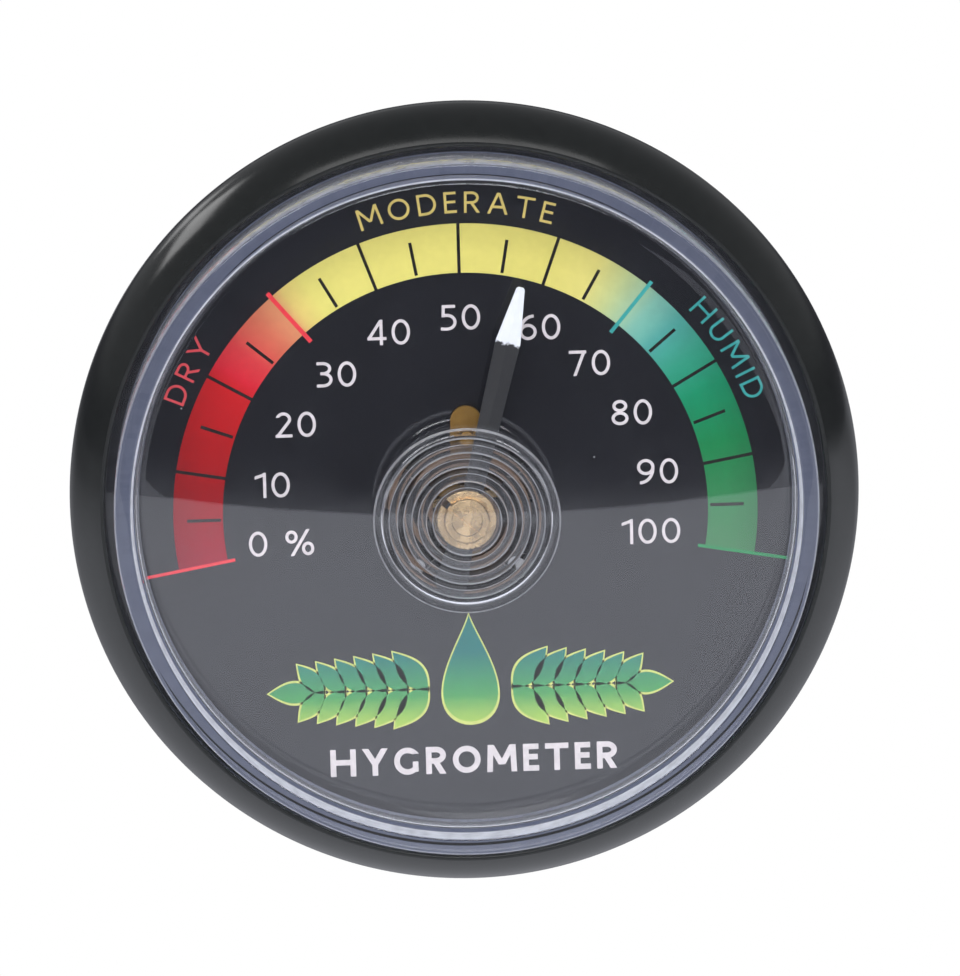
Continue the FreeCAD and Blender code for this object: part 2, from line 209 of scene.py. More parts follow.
def principled(name, base, roughness, normal=None, **inputs):
    """A material. base and roughness are values or functions of the Shader, and normal is a function."""
    material, sh = new_material(name)
    made = sh.node("ShaderNodeBsdfPrincipled", **inputs)
    sh.set(made.inputs["Base Color"], base(sh) if callable(base) else base)
    sh.set(made.inputs["Roughness"], roughness(sh) if callable(roughness) else roughness)
    if normal is not None:
        sh.set(made.inputs["Normal"], normal(sh))
    sh.finish(made.outputs[0])
    return material


# ---------------------------------------------------------------------------------------------------------
# Materials
# ---------------------------------------------------------------------------------------------------------
def black_plastic():
    """Moulded black plastic: faint orange peel, uneven gloss and a little dust grain."""

    def base(sh):
        return sh.mix(sh.noise(900.0, 4.0), linear(27, 29, 29), linear(36, 38, 38))

    def roughness(sh):
        return sh.steps(sh.noise(260.0, 5.0, 0.6), 0.3, 0.75, 0.13, 0.22)

    def normal(sh):
        peel = sh.noise(420.0, 2.0)
        grain = sh.noise(5200.0, 2.0)
        return sh.bump(sh.math("ADD", peel, sh.math("MULTIPLY", grain, 0.12)), 0.012 * MM, 0.5)

    return principled("black_plastic", base, roughness, normal, IOR=1.5)


def clear_plastic():
    """Clear moulded plastic that lets lamps through, as its shadow is faint."""
    material, sh = new_material("clear_plastic")
    flow = sh.bump(sh.noise(70.0, 2.0, 0.4), 0.004 * MM, 0.5)
    glass = sh.node("ShaderNodeBsdfGlass", Color=(0.985, 0.988, 1.0), Roughness=0.0, IOR=1.49, Normal=flow)
    bright = sh.node("ShaderNodeBsdfDiffuse", Color=(0.86, 0.88, 0.95), Roughness=0.5)
    glowing = sh.node("ShaderNodeBsdfTranslucent", Color=(0.86, 0.88, 0.95))
    matt = sh.node("ShaderNodeMixShader", Fac=0.5)
    sh.tree.links.new(bright.outputs[0], matt.inputs[1])
    sh.tree.links.new(glowing.outputs[0], matt.inputs[2])
    frost = sh.node("ShaderNodeAttribute", {"attribute_name": "frost"}).outputs["Fac"]
    uneven = sh.math("MULTIPLY", frost, sh.steps(sh.noise(700.0, 4.0), 0.25, 0.75, 0.75, 1.2))
    clear = sh.node("ShaderNodeMixShader", Fac=uneven)
    sh.tree.links.new(glass.outputs[0], clear.inputs[1])
    sh.tree.links.new(matt.outputs[0], clear.inputs[2])
    through = sh.node("ShaderNodeBsdfTransparent", Color=(0.93, 0.935, 0.95))
    shadow = sh.node("ShaderNodeLightPath").outputs["Is Shadow Ray"]
    both = sh.node("ShaderNodeMixShader", Fac=shadow)
    sh.tree.links.new(clear.outputs[0], both.inputs[1])
    sh.tree.links.new(through.outputs[0], both.inputs[2])
    sh.finish(both.outputs[0])
    return material


def printed_film():
    """Glossy black film with specks of dust, a slight waviness and a pale ring under the lens wall, which is
    painted light: the glow that the clear wall carries down.
    """

    def base(sh):
        cells = sh.node("ShaderNodeTexVoronoi", {"feature": "F1"}, Vector=sh.place(), Scale=230.0)
        speck = sh.steps(cells.outputs["Distance"], 0.018, 0.03, 1.0, 0.0)
        chosen = sh.steps(sh.split(cells.outputs["Color"])[0], 0.8, 0.82)
        black = sh.mix(sh.noise(120.0, 5.0), linear(25, 26, 29), linear(34, 35, 39))
        dusty = sh.mix(sh.math("MULTIPLY", speck, chosen), black, linear(190, 190, 190))
        x, _, z = sh.split(sh.place())
        radius = sh.length(x, z)
        inside = sh.steps(radius, PAINTED_GLOW_R - PAINTED_GLOW_SOFT, PAINTED_GLOW_R + PAINTED_GLOW_SOFT)
        outside = sh.steps(radius, LENS_R - PAINTED_GLOW_SOFT, LENS_R + PAINTED_GLOW_SOFT, 1.0, 0.0)
        # The pale ring between the two radii is painted light, not a colour of the film.
        return sh.mix(sh.math("MULTIPLY", inside, outside), dusty, linear(146, 152, 172))

    def roughness(sh):
        return sh.steps(sh.noise(300.0, 5.0), 0.3, 0.7, 0.03, 0.07)

    def normal(sh):
        return sh.bump(sh.noise(60.0, 2.0), 0.01 * MM, 0.3)

    return principled("printed_film", base, roughness, normal, IOR=1.6)


def print_ink(name, colour):
    """Screen-printed ink of one colour, slightly mottled, under the film's gloss."""

    def base(sh):
        darker = tuple(c * 0.84 for c in colour)
        return sh.mix(sh.steps(sh.noise(1800.0, 4.0, 0.6), 0.3, 0.7), darker, colour)

    def roughness(sh):
        return sh.steps(sh.noise(900.0, 3.0), 0.3, 0.7, 0.12, 0.2)

    return principled(name, base, roughness, IOR=1.5)


BAND_STOPS = [                      # share of the sweep, colour
    # the first and the last stop are lightened by a painted reflection of the pale floor, as the lens face shows
    # it over the band's ends
    (0.00, linear(148, 20, 44)),
    (0.08, linear(145, 8, 16)),
    (0.13, linear(161, 8, 14)),
    (0.20, linear(190, 22, 28)),
    (0.215, linear(205, 34, 50)),
    (0.24, linear(208, 60, 64)),
    (0.275, linear(211, 114, 86)),
    (0.298, linear(215, 144, 101)),
    (0.312, linear(223, 197, 113)),
    (0.335, linear(226, 216, 117)),
    (0.60, linear(220, 209, 113)),
    (0.645, linear(222, 211, 120)),
    (0.675, linear(192, 202, 137)),
    (0.715, linear(128, 186, 166)),
    (0.745, linear(80, 162, 151)),
    (0.78, linear(50, 150, 122)),
    (0.82, linear(16, 136, 94)),
    (0.88, linear(14, 124, 68)),
    (1.00, linear(66, 126, 82)),
]


def band_ink():
    """The scale's colours, from red for dry to green for humid, a little darker outwards, with a painted
    reflection of the floor lightening both ends.
    """

    def base(sh):
        radius, degrees = sh.dial_polar()
        share = sh.steps(degrees, -SCALE_HALF_SWEEP, SCALE_HALF_SWEEP)
        colour = sh.ramp(share, BAND_STOPS)
        edge = sh.steps(radius, BAND_R[0] + 1.8 * MM, BAND_R[1], 0.0, 0.2)
        mottle = sh.math("ADD", edge, sh.steps(sh.noise(1500.0, 4.0), 0.3, 0.7, 0.0, 0.06))
        return sh.mix(mottle, colour, (0.0, 0.0, 0.0))

    return principled("band_ink", base, 0.15, IOR=1.5)


def emblem_ink():
    """Leaf print that runs from teal at the top to lime at the bottom."""

    def base(sh):
        _, _, z = sh.split(sh.place())
        share = sh.steps(z, PIVOT_Z - 20.8 * MM, PIVOT_Z - 13.2 * MM)
        mottle = sh.math("MULTIPLY", sh.noise(1500.0, 4.0), 0.08)
        stops = [(0.0, linear(178, 205, 84)), (0.45, linear(70, 150, 84)), (1.0, linear(30, 112, 108))]
        return sh.ramp(sh.math("ADD", share, mottle), stops)

    return principled("emblem_ink", base, 0.15, IOR=1.5)


def turned_brass(name, tint, roughness_range):
    """Brass turned on a lathe: rings round the pivot, fine scratches and a patchy tarnish."""

    def base(sh):
        dark = tuple(c * 0.72 for c in tint)
        return sh.mix(sh.steps(sh.noise(700.0, 4.0, 0.6), 0.35, 0.7), tint, dark)

    def roughness(sh):
        return sh.steps(sh.noise(1100.0, 4.0), 0.3, 0.7, *roughness_range)

    def normal(sh):
        radius, _ = sh.dial_polar()
        rings = sh.math("SINE", sh.math("MULTIPLY", radius, 2 * math.pi / (0.09 * MM)))
        wobble = sh.math("MULTIPLY", sh.noise(2500.0, 3.0), 1.5)
        return sh.bump(sh.math("ADD", rings, wobble), 0.004 * MM, 0.6)

    return principled(name, base, roughness, normal, Metallic=1.0)


def dull_brass():
    """Rolled brass sheet, its colour darkened to ochre as painted shade of brass lying in shadow, with the grain
    along the bar.
    """

    def base(sh):
        # dark ochre: painted shade over the brass
        return sh.mix(sh.noise(500.0, 5.0, 0.6), linear(104, 76, 15), linear(127, 93, 25))

    def roughness(sh):
        return sh.steps(sh.noise(800.0, 4.0), 0.3, 0.7, 0.5, 0.7)

    def normal(sh):
        stretch = sh.node("ShaderNodeMapping", Vector=sh.place(), Scale=(1.0, 1.0, 0.08))
        return sh.bump(sh.noise(6000.0, 2.0, vector=stretch.outputs[0]), 0.004 * MM, 0.4)

    return principled("dull_brass", base, roughness, normal, Metallic=0.35)


def spring_steel():
    """Bright spring steel with a fine grain."""

    def base(sh):
        return sh.mix(sh.noise(900.0, 4.0), (0.42, 0.42, 0.43), (0.6, 0.6, 0.61))

    def roughness(sh):
        return sh.steps(sh.noise(1500.0, 4.0), 0.3, 0.7, 0.22, 0.4)

    def normal(sh):
        return sh.bump(sh.noise(9000.0), 0.002 * MM)

    return principled("spring_steel", base, roughness, normal, Metallic=1.0)


def coil_strip():
    """Brown laminated strip with fibres across its width."""

    def base(sh):
        return sh.mix(sh.noise(1400.0, 4.0, 0.6), linear(74, 58, 46), linear(104, 82, 64))

    def roughness(sh):
        return sh.steps(sh.noise(900.0, 3.0), 0.3, 0.7, 0.35, 0.5)

    def normal(sh):
        stretch = sh.node("ShaderNodeMapping", Vector=sh.place(), Scale=(1.0, 0.1, 1.0))
        return sh.bump(sh.noise(7000.0, 2.0, vector=stretch.outputs[0]), 0.006 * MM, 0.5)

    return principled("coil_strip", base, roughness, normal, Metallic=0.25)


def dial_backing():
    """Pale grey board with a fine tooth."""

    def base(sh):
        return sh.mix(sh.noise(1600.0, 5.0, 0.7), linear(176, 176, 172), linear(200, 200, 195))

    return principled("dial_backing", base, 0.6, lambda sh: sh.bump(sh.noise(4000.0, 3.0), 0.01 * MM, 0.5))


def foam_tape():
    """White closed-cell foam, with fine pores."""

    def base(sh):
        return sh.mix(sh.noise(1200.0, 4.0), linear(222, 222, 216), linear(238, 238, 234))

    def normal(sh):
        cells = sh.node("ShaderNodeTexVoronoi", Vector=sh.place(), Scale=2600.0)
        return sh.bump(cells.outputs["Distance"], 0.06 * MM, 0.6)

    return principled("foam_tape", base, lambda sh: sh.steps(sh.noise(900.0), 0.3, 0.7, 0.6, 0.8), normal)


POINTER_DEG = 14.5                  # dial angle of the pointer at rest
WHITE_FROM_R = 17.2 * MM            # the white tip starts about here


def pointer_paint():
    """Satin black with a white tip, whose lower edge is brushed unevenly."""
    lean = math.radians(POINTER_DEG)

    def along(sh):
        x, _, z = sh.split(sh.place())
        up = sh.math("SUBTRACT", z, PIVOT_Z)
        return sh.math("ADD", sh.math("MULTIPLY", x, math.sin(lean)), sh.math("MULTIPLY", up, math.cos(lean)))

    def base(sh):
        ragged = sh.math("MULTIPLY", sh.noise(1300.0, 4.0, 0.7), 1.6 * MM)
        edge = sh.math("ADD", along(sh), ragged)
        white = sh.steps(edge, WHITE_FROM_R + 0.7 * MM, WHITE_FROM_R + 0.95 * MM)
        paint = sh.mix(sh.noise(1500.0, 4.0), linear(236, 238, 242), linear(214, 218, 226))
        black = sh.mix(sh.noise(800.0, 4.0), linear(13, 14, 16), linear(18, 19, 22))
        return sh.mix(white, black, paint)

    def roughness(sh):
        return sh.steps(sh.noise(700.0, 4.0), 0.3, 0.7, 0.34, 0.5)

    return principled("pointer_paint", base, roughness, lambda sh: sh.bump(sh.noise(1500.0), 0.003 * MM, 0.4))


MATERIALS = {
    "black_plastic": black_plastic(),
    "clear_plastic": clear_plastic(),
    "printed_film": printed_film(),
    "dial_backing": dial_backing(),
    "foam_tape": foam_tape(),
    "brass": turned_brass("brass", (0.64, 0.46, 0.25), (0.18, 0.34)),
    "spring_steel": spring_steel(),
    "dull_brass": dull_brass(),
    "coil_strip": coil_strip(),
    "pointer_paint": pointer_paint(),
}
for entry in frame["record"]["subparts"]:
    for slot in NODES[entry["node"]].material_slots:
        slot.material = MATERIALS[entry["material_slot"]]


# ---------------------------------------------------------------------------------------------------------
# Mesh helpers
# ---------------------------------------------------------------------------------------------------------
SHARP_DEG = 30.0                    # a fold stays a crisp edge from this angle


def add_piece(name, mesh, material, body):
    """An object for the mesh that rides on a body and takes a slot's finish."""
    piece = bpy.data.objects.new(name, mesh)
    bpy.context.scene.collection.objects.link(piece)
    mesh.materials.clear()
    mesh.materials.append(material)
    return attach(piece, body)


def mesh_from(name, bm):
    bmesh.ops.recalc_face_normals(bm, faces=bm.faces)
    mesh = bpy.data.meshes.new(name)
    bm.to_mesh(mesh)
    bm.free()
    return mesh


def smooth_shaded(bm):
    """Shade smooth, except across sharp folds."""
    for face in bm.faces:
        face.smooth = True
    bm.normal_update()
    for edge in bm.edges:
        edge.smooth = len(edge.link_faces) != 2 or edge.calc_face_angle() < math.radians(SHARP_DEG)


def bar_faces(bm, stations, closed):
    """Skin a bar over stations of four vertices each."""
    for a, b in zip(stations, stations[1:] + stations[:1] if closed else stations[1:]):
        for k in range(4):
            bm.faces.new((a[k], a[(k + 1) % 4], b[(k + 1) % 4], b[k]))
    if not closed:
        bm.faces.new(stations[0])
        bm.faces.new(stations[-1])


# ---------------------------------------------------------------------------------------------------------
# Turned pieces, finer than the frame's
# ---------------------------------------------------------------------------------------------------------
AROUND = 256                        # segments in a full turn


def arc(centre, radius, start_deg, end_deg, count):
    """Profile points (radius, h) on an arc. 0 degrees points outwards and 90 to the front."""
    angles = [math.radians(start_deg + (end_deg - start_deg) * i / count) for i in range(count + 1)]
    return [(centre[0] + radius * math.cos(a), centre[1] + radius * math.sin(a)) for a in angles]


def turned(name, profile):
    """Closed mesh of revolution from a closed loop of (radius, h, axis z, frost), the last two optional.

    A point of radius 0 becomes a single vertex. Rings with an axis of their own make an eccentric piece.
    frost goes from 0, polished, to 1, matt, and is kept with the vertices.
    """
    bm = bmesh.new()
    frost_layer = bm.verts.layers.float.new("frost")
    rings = []
    for r, h, *more in profile:
        z = more[0] if more else 0.0
        count = AROUND if r > 1e-9 else 1
        angles = [2 * math.pi * i / AROUND for i in range(count)]
        rings.append([bm.verts.new((r * math.sin(a), -h, z + r * math.cos(a))) for a in angles])
        for vertex in rings[-1]:
            vertex[frost_layer] = more[1] if len(more) > 1 else 0.0
    for a, b in zip(rings, rings[1:] + rings[:1]):
        for i in range(AROUND):
            j = (i + 1) % AROUND
            if len(a) > 1 and len(b) > 1:
                bm.faces.new((a[i], a[j], b[j], b[i]))
            elif len(b) > 1:
                bm.faces.new((a[0], b[j], b[i]))
            elif len(a) > 1:
                bm.faces.new((a[i], a[j], b[0]))
    smooth_shaded(bm)
    return mesh_from(name, bm)


# Front lens: the sizes match the CAD model's
LENS_INNER_R, FLANGE_R = 31.3 * MM, 34.9 * MM
LENS_BACK_H, FLANGE_FRONT_H, LENS_FRONT_H = 5.1 * MM, 6.4 * MM, 12.5 * MM
BORDER_R, BORDER_OUT_ROUND, BORDER_IN_ROUND = 31.4 * MM, 0.45 * MM, 0.35 * MM
FACE_EDGE_H, FACE_DOME, FACE_T = 10.4 * MM, 0.3 * MM, 1.25 * MM
BOSS_R, BOSS_H, BOSS_Z = 8.85 * MM, 11.0 * MM, -1.2 * MM
BOSS_EDGE = 0.2 * MM
RIDGES, RIDGE_R, RIDGE_PITCH = 4, 7.99 * MM, 1.37 * MM
RIDGE_W, RIDGE_RISE, RIDGE_EDGE = 0.68 * MM, 0.22 * MM, 0.12 * MM
GATE_R, GATE_DEPTH, GATE_EDGE = 1.45 * MM, 0.12 * MM, 0.05 * MM
POCKET_R, POCKET_H, POCKET_EDGE = 8.0 * MM, 9.95 * MM, 0.1 * MM
INNER_ROUND = 0.6 * MM              # inside corner between the wall and the face
BORDER_ROOT = 0.05 * MM             # the border's inner edge starts this far above the face
AXIS_MARGIN = 4 * MM                # the face reaches the case's axis this far inside the border
BACK_MARGIN = 1.0 * MM              # the face's back ends this far inside the wall
FACE_RINGS = 12

# How matt each surface of the lens is, from 0 to 1
RIDGE_FROST, EDGE_FROST, WALL_FROST, FLAT_FROST = 0.42, 0.92, 0.22, 0.09
CREST_FROST, FLANGE_FROST = 0.3, 0.06
THIN = 0.03 * MM                    # frost fades out over this width beside an edge


def dome_height(r, edge_h):
    """Height of a shallow dome at a distance from the case's axis."""
    sphere_r = (BORDER_R**2 + FACE_DOME**2) / (2 * FACE_DOME)
    return edge_h + FACE_DOME - sphere_r + math.sqrt(sphere_r**2 - r**2)


def dome_rings(radii, edge_h):
    """Rings that slide from the boss's axis to the case's axis at the border."""
    rings = []
    for r in radii:
        share = max(0.0, min(1.0, (r - BOSS_R) / (BORDER_R - AXIS_MARGIN - BOSS_R)))
        rings.append((r, dome_height(r, edge_h), BOSS_Z * (1.0 - share)))
    return rings


def frosted(points, axis_z, frost):
    """Profile points with an axis and the same frost."""
    return [(r, h, axis_z, frost) for r, h in points]


def ridge(outer):
    """Low flat-topped ring on the boss, from its inside out, matt on its edges and walls only."""
    inner, top = outer - RIDGE_W, BOSS_H + RIDGE_RISE
    corner = arc((inner + RIDGE_EDGE, top - RIDGE_EDGE), RIDGE_EDGE, 180, 90, 4)
    mirrored = [(inner + outer - r, h) for r, h in reversed(corner)]
    rise = frosted([(inner - THIN, BOSS_H)], BOSS_Z, FLAT_FROST)
    rise += frosted([(inner, BOSS_H)] + corner[:-1], BOSS_Z, RIDGE_FROST)
    rise += frosted(corner[-1:], BOSS_Z, 0.0)
    fall = frosted(mirrored[:1], BOSS_Z, 0.0)
    fall += frosted(mirrored[1:] + [(outer, BOSS_H)], BOSS_Z, RIDGE_FROST)
    fall += frosted([(outer + THIN, BOSS_H)], BOSS_Z, FLAT_FROST)
    return rise + fall


def lens_mesh():
    """Clear cup, from the gate mark on the boss out to the flange and back along the inside."""
    boss = [(0.0, BOSS_H - GATE_DEPTH), (GATE_R - GATE_EDGE, BOSS_H - GATE_DEPTH), (GATE_R, BOSS_H)]
    front = frosted(boss, BOSS_Z, FLAT_FROST)
    for i in reversed(range(RIDGES)):
        front += ridge(RIDGE_R - i * RIDGE_PITCH)
    foot_h = dome_height(BOSS_R, FACE_EDGE_H)
    shoulder = arc((BOSS_R - BOSS_EDGE, BOSS_H - BOSS_EDGE), BOSS_EDGE, 90, 0, 5)
    front += frosted(shoulder[:1], BOSS_Z, 0.0) + frosted(shoulder[1:], BOSS_Z, RIDGE_FROST)
    front += frosted([(BOSS_R, foot_h)], BOSS_Z, RIDGE_FROST)
    spread = [BOSS_R + THIN + (BORDER_R - 2 * THIN - BOSS_R) * t / FACE_RINGS for t in range(FACE_RINGS + 1)]
    front += [(*ring, 0.0) for ring in dome_rings(spread, FACE_EDGE_H)]
    crest_in = (BORDER_R + BORDER_IN_ROUND, LENS_FRONT_H - BORDER_IN_ROUND)
    crest_out = (LENS_R - BORDER_OUT_ROUND, LENS_FRONT_H - BORDER_OUT_ROUND)
    border = frosted([(BORDER_R, FACE_EDGE_H + BORDER_ROOT)], 0.0, EDGE_FROST)
    border += frosted(arc(crest_in, BORDER_IN_ROUND, 180, 125, 6), 0.0, EDGE_FROST)
    border += frosted(arc(crest_in, BORDER_IN_ROUND, 110, 90, 2), 0.0, 0.0)
    border += frosted(arc(crest_out, BORDER_OUT_ROUND, 90, 60, 3), 0.0, 0.0)
    border += frosted(arc(crest_out, BORDER_OUT_ROUND, 50, 0, 5), 0.0, CREST_FROST)
    border += frosted([(LENS_R, FLANGE_FRONT_H), (FLANGE_R, FLANGE_FRONT_H)], 0.0, FLANGE_FROST)
    border += frosted([(FLANGE_R, LENS_BACK_H)], 0.0, 0.0)
    border += frosted([(LENS_INNER_R, LENS_BACK_H)], 0.0, WALL_FROST)
    inner_corner = (LENS_INNER_R - INNER_ROUND, FACE_EDGE_H - FACE_T - INNER_ROUND)
    border += frosted(arc(inner_corner, INNER_ROUND, 0, 30, 2), 0.0, WALL_FROST)
    border += frosted(arc(inner_corner, INNER_ROUND, 45, 80, 3), 0.0, 0.0)
    back_width = LENS_INNER_R - BACK_MARGIN - BOSS_R
    back_spread = [BOSS_R + back_width * t / FACE_RINGS for t in range(FACE_RINGS, 0, -1)]
    back = [(*ring, 0.0) for ring in dome_rings(back_spread, FACE_EDGE_H - FACE_T)]
    under_h = dome_height(POCKET_R, FACE_EDGE_H - FACE_T)
    under = [(POCKET_R + POCKET_EDGE, under_h), (POCKET_R, under_h + POCKET_EDGE)]
    under += [(POCKET_R, POCKET_H - POCKET_EDGE), (POCKET_R - POCKET_EDGE, POCKET_H), (0.0, POCKET_H)]
    return turned("lens", front + border + back + frosted(under, BOSS_Z, 0.0))


# Bezel: points are (radius, h)
BEZEL_FOOT, BEZEL_TOP = (37.5 * MM, 3.6 * MM), (34.5 * MM, 8.95 * MM)
BEZEL_BULGE, FLANK_STEPS = 0.55 * MM, 24
LIP_CENTRE, LIP_ROUND = (34.25 * MM, 8.75 * MM), 0.2 * MM
HEEL_CENTRE, HEEL_ROUND = (37.1 * MM, 2.0 * MM), 0.4 * MM
BEZEL_INSIDE = [                    # over the lens seat and the snap bead to the back
    (34.0 * MM, 6.4 * MM),
    (35.1 * MM, 6.4 * MM),
    (35.1 * MM, 2.5 * MM),
    (34.8 * MM, 2.2 * MM),
    (35.1 * MM, 1.9 * MM),
    (35.1 * MM, 1.6 * MM),
]


def bezel_mesh():
    """Conical ring whose flank bows out, with a softened lip."""
    chord = Vector(BEZEL_TOP) - Vector(BEZEL_FOOT)
    outward = Vector((chord.y, -chord.x)).normalized()
    flank = []
    for i in range(FLANK_STEPS + 1):
        t = i / FLANK_STEPS
        bulge = BEZEL_BULGE * 4 * t * (1 - t)
        flank.append(tuple(Vector(BEZEL_FOOT) + chord * t + outward * bulge))
    lip = arc(LIP_CENTRE, LIP_ROUND, 90, 180, 5)
    heel = arc(HEEL_CENTRE, HEEL_ROUND, -90, 0, 6)
    return turned("bezel", flank + lip + BEZEL_INSIDE + heel)


# Coil: the strip's sizes match the CAD model's
COIL_R, COIL_PITCH, COIL_HALF_TURNS = 7.6 * MM, 0.8 * MM, 13
COIL_T, COIL_TAIL = 0.18 * MM, 1.3 * MM
COIL_H = (6.35 * MM, 7.95 * MM)
HUB_SLOT_END = 0.9 * MM
BAR_DEG = 1.5                       # the bar's dial angle


def coil_stations():
    """Middle line of the strip as (x, z above the pivot, share of the winding), from the post to the hub."""
    shift = COIL_PITCH / 4
    line = [(COIL_TAIL * (1 - i / 4), COIL_R, 0.0) for i in range(4)]
    steps = 36
    for i in range(COIL_HALF_TURNS):
        side = 1 if i % 2 == 0 else -1
        radius = COIL_R - shift - i * COIL_PITCH / 2
        for k in range(steps):
            a = math.pi * k / steps
            share = (i + k / steps) / COIL_HALF_TURNS
            line.append((-side * radius * math.sin(a), side * (shift + radius * math.cos(a)), share))
    end = shift - radius
    line += [(0.0, end, 1.0), (0.0, (end - HUB_SLOT_END) / 2, 1.0), (0.0, -HUB_SLOT_END, 1.0)]
    return line


def coil_mesh():
    """The strip on edge, with its winding share for each vertex."""
    line = coil_stations()
    turn = Matrix.Rotation(-math.radians(BAR_DEG), 2)
    points = [turn @ Vector((x, z)) for x, z, _ in line]
    bm = bmesh.new()
    stations, shares = [], []
    for i, point in enumerate(points):
        along = (points[min(i + 1, len(points) - 1)] - points[max(i - 1, 0)]).normalized()
        across = Vector((along.y, -along.x)) * COIL_T / 2
        corners = []
        for side, h in ((1, COIL_H[0]), (1, COIL_H[1]), (-1, COIL_H[1]), (-1, COIL_H[0])):
            spot = point + across * side
            corners.append(bm.verts.new((spot.x, -h, PIVOT_Z + spot.y)))
            shares.append(line[i][2])
        stations.append(corners)
    bar_faces(bm, stations, False)
    smooth_shaded(bm)
    return mesh_from("coil", bm), shares


# ---------------------------------------------------------------------------------------------------------
# Print on the dial
# ---------------------------------------------------------------------------------------------------------
def add_plate(bm, outline, layer):
    """A closed ink-thin solid with an outline of points on the dial, in an ink layer from 1 up."""
    low, high = FILM_H - PRINT_T, FILM_H + layer * PRINT_T
    rings = [[bm.verts.new((x, -h, z)) for x, z in outline] for h in (low, high)]
    bm.faces.new(rings[0])
    bm.faces.new(rings[1])
    for i in range(len(outline)):
        j = (i + 1) % len(outline)
        bm.faces.new((rings[0][i], rings[0][j], rings[1][j], rings[1][i]))


def flat(point):
    return point.x, point.z


def scale_band():
    """The coloured band, in one strip of short segments."""
    bm = bmesh.new()
    count = 200
    low, high = FILM_H - PRINT_T, FILM_H + PRINT_T
    columns = []
    for i in range(count + 1):
        degrees = -SCALE_HALF_SWEEP + 2 * SCALE_HALF_SWEEP * i / count
        corners = [(r, h) for r in BAND_R for h in (low, high)]
        columns.append([bm.verts.new(on_dial(r, degrees, h)) for r, h in corners])
    around = (0, 1, 3, 2)
    for a, b in zip(columns, columns[1:]):
        for k in range(4):
            i, j = around[k], around[(k + 1) % 4]
            bm.faces.new((a[i], a[j], b[j], b[i]))
    bm.faces.new([columns[0][i] for i in around])
    bm.faces.new([columns[-1][i] for i in around])
    return mesh_from("scale_band", bm)


TICK_LAYER = 2


def tick(bm, percent, span, width):
    """A line across the band at a percentage."""
    degrees = percent_angle(percent)
    side = on_dial(width / 2, degrees + 90) - on_dial(0, 0)
    ends = [on_dial(r, degrees) for r in span]
    corners = [ends[0] - side, ends[0] + side, ends[1] + side, ends[1] - side]
    add_plate(bm, [flat(p) for p in corners], TICK_LAYER)


def ticks(name, percents, span, width):
    bm = bmesh.new()
    for percent in percents:
        tick(bm, percent, span, width)
    return mesh_from(name, bm)


def bow(cx, cz, rx, rz, start, end):
    """Points on an oval arc. 0 degrees is to the right and 90 is up."""
    count = max(4, round(abs(end - start) / 9))
    angles = [math.radians(start + (end - start) * i / count) for i in range(count + 1)]
    return [(cx + rx * math.cos(a), cz + rz * math.sin(a)) for a in angles]


def oval(cx, cz, rx, rz):
    """A closed stroke: its last point repeats the first."""
    return bow(cx, cz, rx, rz, 0, 360)


